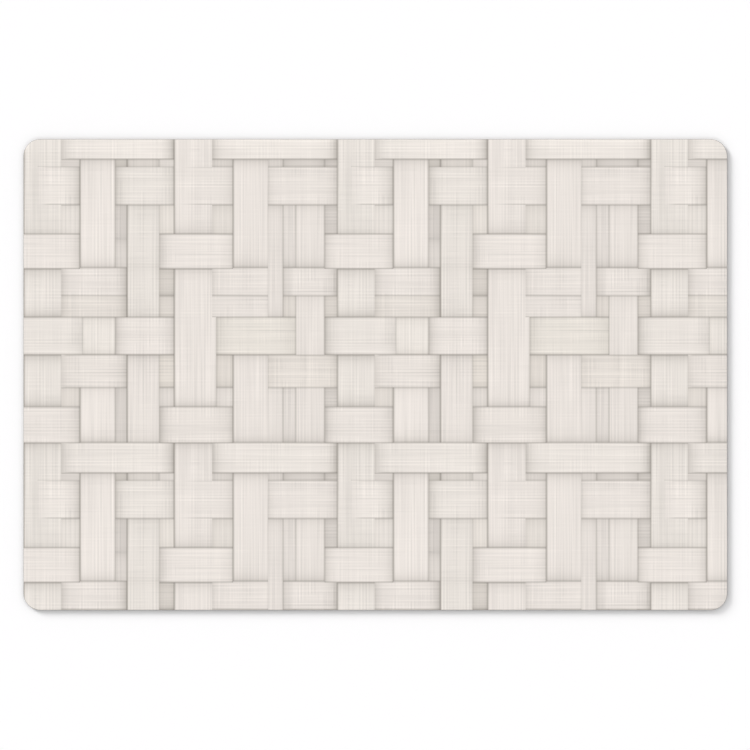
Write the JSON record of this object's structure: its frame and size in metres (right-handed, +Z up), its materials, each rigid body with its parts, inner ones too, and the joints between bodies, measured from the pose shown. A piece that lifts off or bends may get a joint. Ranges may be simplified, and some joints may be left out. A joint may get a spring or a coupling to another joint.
{
  "type": "vinyl placemat",
  "caption": "Flat rectangular placemat of printed vinyl sheet with rounded corners, to lie under a table setting.",
  "frame": {"origin": "middle of the flat face that the mat rests on", "axes": "+Z up through the sheet, +X along its length, +Y across its width towards the top of the print"},
  "size_m": [0.4572, 0.306, 0.0016],
  "materials": {
    "vinyl": "satin printed vinyl, warm off-white, with a woven strip print on its top face"
  },
  "bodies": {
    "root": {"placemat": "vinyl"}
  },
  "joints": []
}
